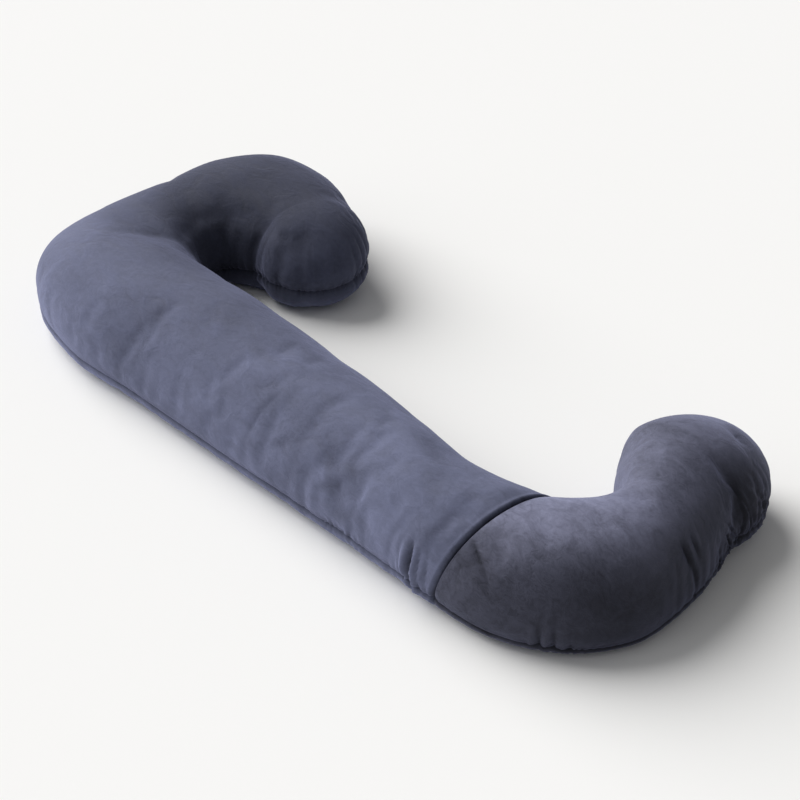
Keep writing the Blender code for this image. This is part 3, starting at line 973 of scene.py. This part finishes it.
def stitches(line, outward):
    """Short capsules of thread laid end to end along a line, as one mesh of arrays.

    Each stitch has five rings of points. Ring and point give its place along the stitch and round
    the thread; its radius swells as the root of one less the square of the share along it.
    """
    step = np.linalg.norm(np.diff(line, axis=0), axis=1)
    arc = np.concatenate([[0.0], np.cumsum(step)])
    starts = np.arange(0.0, arc[-1] - STITCH_LENGTH, STITCH_LENGTH + STITCH_GAP)
    share = np.array([-1.0, -0.75, 0.0, 0.75, 1.0])
    swell_by = np.sqrt(np.clip(1.02 - share**2, 0.02, 1))
    place = starts[:, None] + STITCH_LENGTH * (share[None, :] + 1) / 2
    centre = np.stack([np.interp(place, arc, line[:, axis]) for axis in range(3)], axis=2)
    out = np.stack([np.interp(place, arc, outward[:, axis]) for axis in range(3)], axis=2)
    ahead = centre[:, -1:] - centre[:, :1]
    ahead = ahead / np.linalg.norm(ahead, axis=2)[:, :, None]
    out -= (out * ahead).sum(axis=2)[:, :, None] * ahead
    out /= np.linalg.norm(out, axis=2)[:, :, None]
    beside = np.cross(ahead, out)
    turn = np.arange(THREAD_SIDES) * 2 * np.pi / THREAD_SIDES
    radius = THREAD_RADIUS * swell_by[None, :, None, None]
    ring = np.cos(turn)[None, None, :, None] * out[:, :, None, :]
    ring = ring + np.sin(turn)[None, None, :, None] * beside[:, :, None, :]
    points = centre[:, :, None, :] + out[:, :, None, :] * THREAD_RADIUS * 0.6 + ring * radius
    index = np.arange(points.size // 3).reshape(points.shape[0:3])
    after = np.roll(index, -1, axis=2)
    sides = np.stack([index[:, :-1], after[:, :-1], after[:, 1:], index[:, 1:]], axis=3).reshape(-1, 4)
    caps = np.concatenate([index[:, 0, ::-1], index[:, -1]])
    return points.reshape(-1, 3), sides.tolist() + caps.tolist()


def add_stitches(name, lines):
    """One mesh of stitches along several seam lines, riding with the pillow."""
    everything, faces, offset = [], [], 0
    for line, outward in lines:
        points, sides = stitches(line, outward)
        everything.append(points)
        faces += [[corner + offset for corner in face] for face in sides]
        offset += len(points)
    mesh = bpy.data.meshes.new(name)
    mesh.from_pydata(np.concatenate(everything).tolist(), [], faces)
    mesh.shade_smooth()
    bm = bmesh.new()
    bm.from_mesh(mesh)
    bmesh.ops.recalc_face_normals(bm, faces=bm.faces)
    bm.to_mesh(mesh)
    bm.free()
    piece = linked(name, mesh)
    mesh.materials.append(thread_material(name + "_thread", bpy.context.scene.pillow_velvet.thread))
    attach(piece, "root")


# Grids of the finished sections, which the stitches follow
MADE = {}


class PILLOW_OT_body_cover(bpy.types.Operator):
    """Makes the long section of the velvet cover with the head hook, filled."""

    bl_idname = "pillow.body_cover"
    bl_label = "Body cover"

    def execute(self, context):
        velvet = context.scene.pillow_velvet
        looks = (velvet.body_pile, velvet.body_lean, velvet.body_brushed, velvet.body_sheen)
        MADE["body"] = add_cover("body_cover", "body", looks, "body_cushion")
        return {"FINISHED"}


class PILLOW_OT_foot_cover(bpy.types.Operator):
    """Makes the foot hook of the velvet cover, filled."""

    bl_idname = "pillow.foot_cover"
    bl_label = "Foot cover"

    def execute(self, context):
        velvet = context.scene.pillow_velvet
        looks = (velvet.foot_pile, velvet.foot_lean, velvet.foot_brushed, velvet.foot_sheen)
        MADE["foot"] = add_cover("foot_cover", "foot", looks, "foot_cushion")
        return {"FINISHED"}


class PILLOW_OT_edge_stitches(bpy.types.Operator):
    """Sews the edge seam round both sections."""

    bl_idname = "pillow.edge_stitches"
    bl_label = "Edge seam stitches"

    def execute(self, context):
        form = context.scene.pillow_form
        lines = []
        for key in ("body", "foot"):
            points = centred(MADE[key], form)[FREE_COLUMNS:-FREE_COLUMNS]
            seam = points[:, TOP_ROWS]
            middle = points[:, 0] * (1, 1, 0) + seam * (0, 0, 1)
            lines.append((seam, seam - middle))
        add_stitches("edge_seam_stitches", lines)
        return {"FINISHED"}


class PILLOW_OT_cross_stitches(bpy.types.Operator):
    """Sews the cross seam between the two sections."""

    bl_idname = "pillow.cross_stitches"
    bl_label = "Cross seam stitches"

    def execute(self, context):
        form = context.scene.pillow_form
        points = centred(MADE["body"], form)
        last = TOP_ROWS + SIDE_ROWS // 2
        line = np.concatenate([points[0, last:0:-1], points[-1, 0:last]])
        heart = np.append(points[0, 0, 0:2], form.crown_height / 2)
        add_stitches("cross_seam_stitches", [(line, line - heart)])
        return {"FINISHED"}


def add_sun(name, towards, strength, spread, colour):
    """Soft light from far off, in the direction given from the pillow."""
    light = bpy.data.objects.new(name, bpy.data.lights.new(name, "SUN"))
    light.data.energy = strength
    light.data.angle = spread
    light.data.color = colour
    light.rotation_euler = Vector(towards).to_track_quat("Z", "Y").to_euler()
    bpy.context.scene.collection.objects.link(light)


class PILLOW_OT_stage(bpy.types.Operator):
    """Sets up the camera at the photograph's angle, a plain pale floor and soft studio light."""

    bl_idname = "pillow.stage"
    bl_label = "Stage"

    def execute(self, context):
        scene = context.scene
        studio = scene.pillow_studio
        middle = frame_middle(scene.pillow_form)
        aim = Vector((-middle[0], -middle[1], 0.0))
        back = Vector((
            math.sin(studio.azimuth) * math.cos(studio.elevation),
            -math.cos(studio.azimuth) * math.cos(studio.elevation),
            math.sin(studio.elevation)))
        camera = bpy.data.objects.new("camera", bpy.data.cameras.new("camera"))
        scene.collection.objects.link(camera)
        camera.location = aim + back * studio.distance
        camera.rotation_euler = (math.pi / 2 - studio.elevation, 0.0, studio.azimuth)
        camera.data.sensor_width = 36.0
        camera.data.lens = studio.lens
        camera.data.shift_x, camera.data.shift_y = studio.shift
        scene.camera = camera

        bpy.ops.mesh.primitive_plane_add(size=studio.floor_size, location=(0.0, 0.0, -0.0005))
        floor = context.object
        floor.name = "floor"
        paper = bpy.data.materials.new("pale_floor")
        paper.use_nodes = True
        paper.node_tree.nodes["Principled BSDF"].inputs["Base Color"].default_value = (*studio.floor_tone, 1)
        paper.node_tree.nodes["Principled BSDF"].inputs["Roughness"].default_value = 0.9
        floor.data.materials.append(paper)

        add_sun("key", KEY_FROM, studio.key_strength, math.radians(55), (1.0, 0.99, 0.97))
        add_sun("fill", FILL_FROM, studio.fill_strength, math.radians(60), (0.96, 0.98, 1.0))
        world = bpy.data.worlds.new("studio")
        world.use_nodes = True
        world.node_tree.nodes["Background"].inputs["Color"].default_value = (1.0, 1.0, 1.0, 1.0)
        world.node_tree.nodes["Background"].inputs["Strength"].default_value = studio.ambient
        scene.world = world
        scene.view_settings.view_transform = "Standard"
        return {"FINISHED"}


class PILLOW_PT_panel(bpy.types.Panel):
    """Lists the pillow's pieces and its stage."""

    bl_idname = "PILLOW_PT_panel"
    bl_label = "Pregnancy pillow"
    bl_space_type = "VIEW_3D"
    bl_region_type = "UI"
    bl_category = "Pillow"

    def draw(self, context):
        for group in SETTINGS:
            box = self.layout.box()
            settings = getattr(context.scene, group)
            for name in settings.__annotations__:
                box.prop(settings, name)
        for operator in OPERATORS:
            self.layout.operator(operator.bl_idname)


SETTINGS = {
    "pillow_form": PillowForm,
    "pillow_filling": PillowFilling,
    "pillow_velvet": PillowVelvet,
    "pillow_studio": PillowStudio,
}
OPERATORS = (
    PILLOW_OT_body_cover,
    PILLOW_OT_foot_cover,
    PILLOW_OT_edge_stitches,
    PILLOW_OT_cross_stitches,
    PILLOW_OT_stage,
)
CLASSES = (*SETTINGS.values(), *OPERATORS, PILLOW_PT_panel)


def register():
    for item in CLASSES:
        bpy.utils.register_class(item)
    for name, group in SETTINGS.items():
        setattr(bpy.types.Scene, name, PointerProperty(type=group))


def unregister():
    for name in SETTINGS:
        delattr(bpy.types.Scene, name)
    for item in reversed(CLASSES):
        bpy.utils.unregister_class(item)


def main():
    register()
    bpy.ops.pillow.body_cover()
    bpy.ops.pillow.foot_cover()
    bpy.ops.pillow.edge_stitches()
    bpy.ops.pillow.cross_stitches()
    bpy.ops.pillow.stage()


if __name__ == "__main__":
    main()
